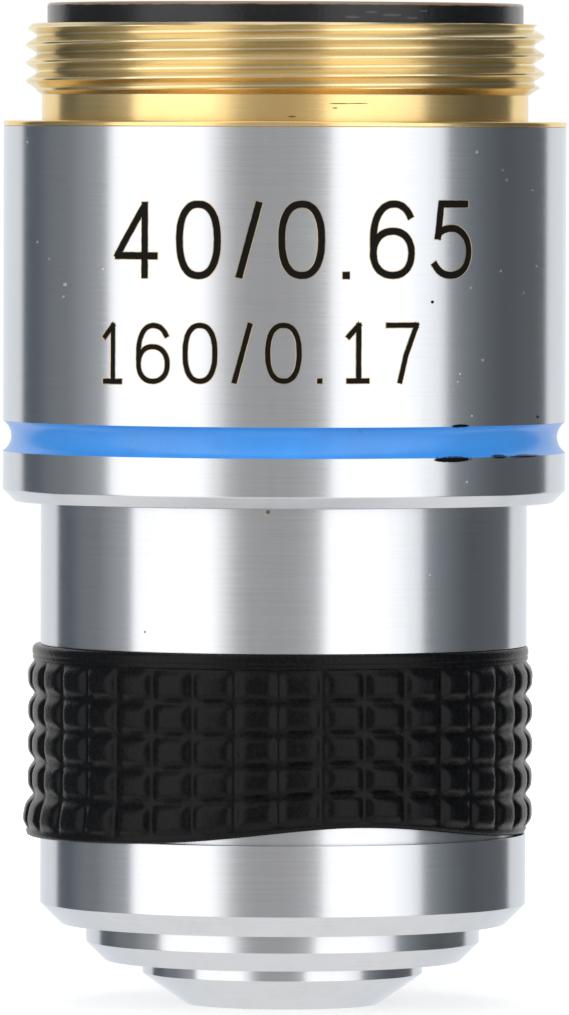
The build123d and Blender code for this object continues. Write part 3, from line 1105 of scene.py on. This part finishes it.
def inside(point, quads):
    """Whether a point lies in any of the quads."""
    return any(
        min(c.x for c in quad) <= point.x <= max(c.x for c in quad)
        and min(c.y for c in quad) <= point.y <= max(c.y for c in quad)
        and intersect_point_quad_2d(point, *quad) != 0
        for quad in quads
    )


def glyph_tiles(character, left_x, top_y, foot_y, stroke, end_growth):
    """Flat points of a glyph, and the tiles of its strokes and burr as (corners, slot)."""
    angle, base = seen_on(left_x, foot_y, barrel_r)
    height = seen_on(left_x, top_y, barrel_r)[1] - base
    fill, burr = [], []
    for points, closed in glyph_strokes(character, angle * barrel_r, base, height, stroke):
        grow = 0 if character == "." else end_growth * stroke
        fill += stroke_quads(points, closed, stroke / 2, grow)
        burr += stroke_quads(points, closed, stroke / 2 + burr_width, grow + burr_width)
    corners = [corner for quad in fill + burr for corner in quad]
    edges = [(i, i + 1 if i % 4 < 3 else i - 3) for i in range(len(corners))]
    flat, _, tiles, _, _, _ = delaunay_2d_cdt(corners, edges, [], 0, weld, False)
    kept = []
    for tile in tiles:
        middle = sum((flat[i] for i in tile), Vector((0, 0))) / len(tile)
        if inside(middle, fill):
            kept.append((tile, fill_slot))
        elif inside(middle, burr):
            kept.append((tile, burr_slot))
    return flat, kept


def on_barrel(point, height):
    """A flat point laid on the barrel at a height, with a little wander."""
    x, y = point.x * edge_waves, point.y * edge_waves
    wobble = noise.noise(Vector((x, y, 0.3))) * edge_noise
    sway = noise.noise(Vector((x, y, 5.3))) * edge_noise
    return on_circle(skin_r + height, (point.x + wobble) / barrel_r, point.y + sway)


def open_edges(tiles):
    """The edges that only one tile has, in its direction."""
    uses = {}
    for tile in tiles:
        for a, b in zip(tile, tile[1:] + tile[:1]):
            uses.setdefault(frozenset((a, b)), []).append((a, b))
    return [directed[0] for directed in uses.values() if len(directed) == 1]


def engraving_mesh(name, rows):
    """All glyphs laid on the barrel, each with a rim that goes down into it."""
    vertices, shell, slots = [], [], []
    for characters, lefts, *form in rows:
        for character, left_x in zip(characters, lefts):
            flat, tiles = glyph_tiles(character, left_x, *form)
            filled = {i for tile, slot in tiles if slot == fill_slot for i in tile}
            offset = len(vertices)
            for i, point in enumerate(flat):
                vertices.append(on_barrel(point, fill_height if i in filled else burr_height))
            for tile, slot in tiles:
                shell.append([offset + i for i in tile])
                slots.append(slot)
            for a, b in open_edges([tile for tile, _ in tiles]):
                for i in (a, b):
                    x, y, z = vertices[offset + i]
                    shrink = (skin_r - rim_depth) / hypot(x, y)
                    vertices.append((x * shrink, y * shrink, z))
                shell.append([offset + b, offset + a, len(vertices) - 2, len(vertices) - 1])
                slots.append(burr_slot)
    used = sorted({i for face in shell for i in face})
    place = {old: new for new, old in enumerate(used)}
    points = [tuple(c * MM for c in vertices[i]) for i in used]
    mesh = bpy.data.meshes.new(name)
    mesh.from_pydata(points, [], [[place[i] for i in face] for face in shell])
    mesh.polygons.foreach_set("material_index", slots)
    mesh.shade_smooth()
    mesh.set_sharp_from_angle(angle=radians(35))
    return mesh


# Rows of numbers: text, left edges, top and foot in the photograph's pixels, stroke in millimetres,
# and how far a stroke's end goes beyond its point, as a share of the stroke
first_row_lefts = (114, 176, 236, 278, 342.7, 370, 432)
second_row_lefts = (101.6, 136, 182.5, 232, 265, 317, 345, 385.7)
number_rows = [
    ("40/0.65", first_row_lefts, 200.5, 279, 0.272, 0.35),
    ("160/0.17", second_row_lefts, 322.7, 383.7, 0.2, 0.45),
]
numbers_mesh = engraving_mesh("engraved_numbers", number_rows)
number_finishes = [engraving_fill, worn_edge]
new_object("engraved_numbers", numbers_mesh, number_finishes, "mount_body", "blackened_brass")

# Finishes of the solids that stay
inner_rings = ["front_spacer", "middle_cell", "rear_spacer", "rear_cell"]
inner_rings += ["aperture_stop", "lens_lock_ring", "tube_lock_ring"]
for node in inner_rings:
    frame["nodes"][node].data.materials[0] = blackened
for node in ("nose_spring", "guide_pin"):
    frame["nodes"][node].data.materials[0] = spring_steel
for node in ("middle_flint", "middle_crown", "rear_flint", "rear_crown"):
    frame["nodes"][node].data.materials[0] = lens_glass

# Studio: a tall ring of soft panels that the metal mirrors, and a white world beyond them.
# Sizes are in millimetres, and the stops are (angle in degrees, colour)
panel_radius = 300
panel_low = -250
panel_high = 760
panel_step = 3
soft_white = (1.62, 1.62, 1.62)


def emission_ramp(name, start, end, stops):
    """A glow whose colour follows the angle round the axis, between two angles in degrees."""
    f = Finish(name)
    share = f.remap(f.angle, radians(start), radians(end))
    ramp = f.tree.nodes.new("ShaderNodeValToRGB")
    f.put(ramp, "Fac", share)
    elements = ramp.color_ramp.elements
    while len(elements) < len(stops):
        elements.new(0.5)
    for element, (at, colour) in zip(elements, stops):
        element.position = (at - start) / (end - start)
        element.color = (*colour, 1)
    glow = f.tree.nodes.new("ShaderNodeEmission")
    f.put(glow, "Color", ramp.outputs[0])
    f.put(glow, "Strength", 1.0)
    f.tree.links.new(glow.outputs[0], f.tree.nodes["Material Output"].inputs["Surface"])
    f.material.cycles.emission_sampling = "NONE"
    return f.material


def panel(name, stops):
    """A curved panel between the first and last stop, hidden from the camera alone."""
    start, end = stops[0][0], stops[-1][0]
    steps = max(2, ceil((end - start) / panel_step))
    vertices = []
    for i in range(steps + 1):
        angle = radians(start + (end - start) * i / steps)
        for z in (panel_low, panel_high):
            vertices.append([c * MM for c in on_circle(panel_radius, angle, z)])
    faces = [(2 * i, 2 * i + 2, 2 * i + 3, 2 * i + 1) for i in range(steps)]
    mesh = bpy.data.meshes.new(name)
    mesh.from_pydata(vertices, [], faces)
    piece = bpy.data.objects.new(name, mesh)
    bpy.context.scene.collection.objects.link(piece)
    piece.visible_camera = False
    mesh.materials.append(emission_ramp(name, start, end, stops))


def grey(level, cool=0.0):
    """A panel colour, a little bluer when cool."""
    return (level * (1 - cool), level, level * (1 + cool))


panel(
    "left_flag",
    [
        (-134, grey(0.13, 0.14)),
        (-120, grey(0.145, 0.14)),
        (-110, grey(0.24, 0.08)),
        (-97, grey(0.26, 0.06)),
        (-90, grey(0.36, 0.05)),
        (-80, grey(0.45, 0.05)),
        (-75.5, grey(0.47, 0.04)),
    ],
)
panel("left_softbox", [(-75.5, soft_white), (-33, soft_white), (-22, grey(0.6))])
panel(
    "front_wall",
    [
        (-22, grey(0.6)),
        (-16, grey(0.45)),
        (4, grey(0.46)),
        (12, grey(0.55)),
        (18.5, grey(0.75)),
    ],
)
panel(
    "right_softbox",
    [(18.5, soft_white), (48, soft_white), (62, grey(1.35, 0.02)), (68.5, grey(1.2, 0.02))],
)
panel(
    "right_flag",
    [
        (68.5, grey(0.42, 0.05)),
        (76, grey(0.28, 0.08)),
        (88, grey(0.17, 0.10)),
        (100, grey(0.12, 0.08)),
        (118, grey(0.145, 0.06)),
        (134, grey(0.16, 0.06)),
    ],
)

world = bpy.data.worlds.new("white_studio")
bpy.context.scene.world = world
world.use_nodes = True
world.node_tree.nodes["Background"].inputs["Color"].default_value = (1, 1, 1, 1)
world.node_tree.nodes["Background"].inputs["Strength"].default_value = 1.0

# Pale floor under the nose: it holds the shadow, and its glow only makes it white to the camera
floor_radius = 280
floor_segments = 128
floor_glow_near, floor_glow_far = 0.48, 1.0
glow_from, glow_full = 40, 200


def floor_finish():
    """Matt white with a glow that grows outwards."""
    f = Finish("white_floor")
    seen = f.tree.nodes.new("ShaderNodeLightPath").outputs["Is Camera Ray"]
    grain = f.noise(f.point, 0.5, 3)
    far = f.remap(f.radius, glow_from, glow_full, smooth=True)
    glow = f.remap(far, 0, 1, floor_glow_near, floor_glow_far)
    f.set(
        Base_Color=f.mix(grain, (0.80, 0.80, 0.80), (0.82, 0.82, 0.82)),
        Roughness=1.0,
        Specular_IOR_Level=0.0,
        Emission_Color=(1.0, 1.0, 1.0),
        Emission_Strength=f.math("MULTIPLY", seen, glow),
    )
    return f.material


disc = bmesh.new()
bmesh.ops.create_circle(disc, cap_ends=True, radius=floor_radius * MM, segments=floor_segments)
floor_data = bpy.data.meshes.new("floor")
disc.to_mesh(floor_data)
disc.free()
floor = bpy.data.objects.new("floor", floor_data)
floor.location = (0, 0, cad_box[0].z)
floor.visible_glossy = False
floor_data.materials.append(floor_finish())
bpy.context.scene.collection.objects.link(floor)

bpy.context.scene.view_settings.view_transform = "Standard"
